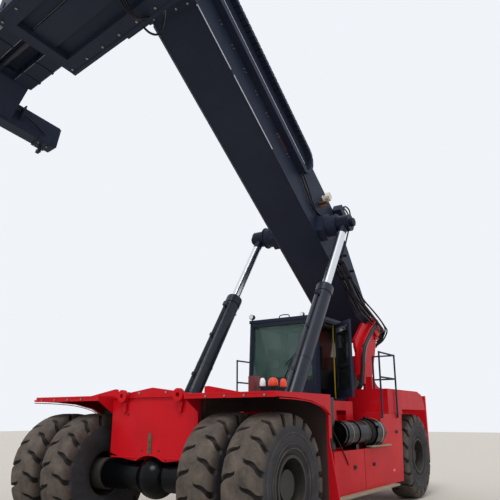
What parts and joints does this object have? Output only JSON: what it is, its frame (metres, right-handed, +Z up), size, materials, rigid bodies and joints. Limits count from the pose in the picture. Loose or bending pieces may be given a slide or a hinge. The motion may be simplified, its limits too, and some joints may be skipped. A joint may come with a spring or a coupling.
{
  "type": "reach stacker",
  "caption": "Wheeled container handler with a telescopic boom, lift cylinders, sliding cab and telescopic spreader.",
  "frame": {"origin": "on the ground under the middle of the machine, boom and spreader included", "axes": "+X forward, +Y to the driver's left, +Z up; the XZ plane is the machine's centre plane"},
  "size_m": [11.4618, 6.4076, 9.5732],
  "materials": {
    "red_paint": "satin, dusty",
    "black_paint": "satin",
    "grey_paint": "satin",
    "rod_chrome": "polished",
    "tyre_rubber": "worn, dusty",
    "rim_paint": "dusty",
    "tread_plate": "worn, dusty",
    "cast_grey": "rough",
    "exhaust_steel": "heat-dulled",
    "lamp_body": "dusty",
    "window_glass": "tinted",
    "seat_cloth": "worn",
    "cab_plastic": "matte"
  },
  "bodies": {
    "chassis": {"chassis_frame": "red_paint", "front_plate": "red_paint", "fender_left": "red_paint", "fender_right": "red_paint", "deck": "red_paint", "side_box_left": "red_paint", "side_box_right": "red_paint", "running_boards": "tread_plate", "boom_tower": "red_paint", "counterweight": "red_paint", "engine_hood": "red_paint", "drive_axle": "black_paint", "steer_axle": "black_paint", "engine_block": "cast_grey", "air_cleaner": "black_paint", "handrails": "black_paint", "exhaust": "exhaust_steel"},
    "front_left_wheels": {"tyres_front_left": "tyre_rubber", "rims_front_left": "rim_paint"},
    "front_right_wheels": {"tyres_front_right": "tyre_rubber", "rims_front_right": "rim_paint"},
    "left_knuckle": {"knuckle_left": "black_paint"},
    "right_knuckle": {"knuckle_right": "black_paint"},
    "rear_left_wheel": {"tyre_rear_left": "tyre_rubber", "rim_rear_left": "rim_paint"},
    "rear_right_wheel": {"tyre_rear_right": "tyre_rubber", "rim_rear_right": "rim_paint"},
    "boom": {"boom_base": "black_paint", "hose_track": "black_paint", "work_lamps": "lamp_body"},
    "inner_boom": {"inner_boom": "black_paint"},
    "left_lift_barrel": {"lift_barrel_left": "grey_paint"},
    "right_lift_barrel": {"lift_barrel_right": "grey_paint"},
    "left_lift_rod": {"lift_rod_left": "rod_chrome"},
    "right_lift_rod": {"lift_rod_right": "rod_chrome"},
    "yoke": {"spreader_yoke": "black_paint"},
    "rotator": {"rotator": "black_paint"},
    "spreader": {"spreader_frame": "black_paint"},
    "left_end_beam": {"end_beam_left": "black_paint"},
    "right_end_beam": {"end_beam_right": "black_paint"},
    "cab": {"cab_shell": "black_paint", "cab_glass": "window_glass", "cab_seat": "seat_cloth", "cab_controls": "cab_plastic"},
    "cab_door": {"cab_door": "black_paint"}
  },
  "joints": [
    {"name": "front_left_roll", "type": "hinge", "parent": "chassis", "child": "front_left_wheels", "pos_m": [2.02911, 1.49, 0.81], "axis": [0, 1, 0], "continuous": true},
    {"name": "front_right_roll", "type": "hinge", "parent": "chassis", "child": "front_right_wheels", "pos_m": [2.02911, -1.49, 0.81], "axis": [0, 1, 0], "continuous": true},
    {"name": "steer_left", "type": "hinge", "parent": "chassis", "child": "left_knuckle", "pos_m": [-4.17089, 0.95, 0.81], "axis": [0, 0, 1], "range_deg": [-45, 45]},
    {"name": "steer_right", "type": "hinge", "parent": "chassis", "child": "right_knuckle", "pos_m": [-4.17089, -0.95, 0.81], "axis": [0, 0, 1], "range_deg": [-45, 45]},
    {"name": "rear_left_roll", "type": "hinge", "parent": "left_knuckle", "child": "rear_left_wheel", "pos_m": [-4.17089, 1.29, 0.81], "axis": [0, 1, 0], "continuous": true},
    {"name": "rear_right_roll", "type": "hinge", "parent": "right_knuckle", "child": "rear_right_wheel", "pos_m": [-4.17089, -1.29, 0.81], "axis": [0, 1, 0], "continuous": true},
    {"name": "boom_lift", "type": "hinge", "parent": "chassis", "child": "boom", "pos_m": [-4.62089, 0, 3.55], "axis": [0, -1, 0], "range_deg": [-31.5, 23.5]},
    {"name": "boom_extend", "type": "slide", "parent": "boom", "child": "inner_boom", "axis": [-0.8192, 0, -0.5736], "range_m": [-5.4, 0]},
    {"name": "left_cylinder_tilt", "type": "hinge", "parent": "chassis", "child": "left_lift_barrel", "pos_m": [0.67911, 1, 1.1], "axis": [0, -1, 0], "range_deg": [-12, 12]},
    {"name": "left_cylinder_stroke", "type": "slide", "parent": "left_lift_barrel", "child": "left_lift_rod", "axis": [-0.5606, 0, 0.8281], "range_m": [-1.75, 1.3]},
    {"name": "right_cylinder_tilt", "type": "hinge", "parent": "chassis", "child": "right_lift_barrel", "pos_m": [0.67911, -1, 1.1], "axis": [0, -1, 0], "range_deg": [-12, 12]},
    {"name": "right_cylinder_stroke", "type": "slide", "parent": "right_lift_barrel", "child": "right_lift_rod", "axis": [-0.5606, 0, 0.8281], "range_m": [-1.75, 1.3]},
    {"name": "spreader_level", "type": "hinge", "parent": "inner_boom", "child": "yoke", "pos_m": [3.57885, 0, 8.48947], "axis": [0, -1, 0], "range_deg": [-25, 35]},
    {"name": "spreader_turn", "type": "hinge", "parent": "yoke", "child": "rotator", "pos_m": [3.71241, 0, 7.80233], "axis": [0.1908, 0, -0.9816], "range_deg": [-114, 186]},
    {"name": "side_shift", "type": "slide", "parent": "rotator", "child": "spreader", "axis": [0.1536, 0.9877, 0.0298], "range_m": [-0.8, 0.8]},
    {"name": "left_beam_reach", "type": "slide", "parent": "spreader", "child": "left_end_beam", "axis": [0.1536, 0.9877, 0.0298], "range_m": [0, 3.066]},
    {"name": "right_beam_reach", "type": "slide", "parent": "spreader", "child": "right_end_beam", "axis": [-0.1536, -0.9877, -0.0298], "range_m": [0, 3.066]},
    {"name": "cab_travel", "type": "slide", "parent": "chassis", "child": "cab", "axis": [-1, 0, 0], "range_m": [-0.7, 0]},
    {"name": "cab_door_swing", "type": "hinge", "parent": "cab", "child": "cab_door", "pos_m": [-2.19089, 0.742, 2.5], "axis": [0, 0, 1], "range_deg": [-45, 40]}
  ],
  "couplings": [
    {"joint": "steer_right", "follows": "steer_left", "ratio": 1},
    {"joint": "left_cylinder_tilt", "follows": "boom_lift", "ratio": -0.02},
    {"joint": "right_cylinder_tilt", "follows": "boom_lift", "ratio": -0.02},
    {"joint": "left_cylinder_stroke", "follows": "boom_lift", "m_per_rad": 2.8834},
    {"joint": "right_cylinder_stroke", "follows": "boom_lift", "m_per_rad": 2.8834},
    {"joint": "spreader_level", "follows": "boom_lift", "ratio": -1},
    {"joint": "right_beam_reach", "follows": "left_beam_reach", "ratio": 1}
  ]
}
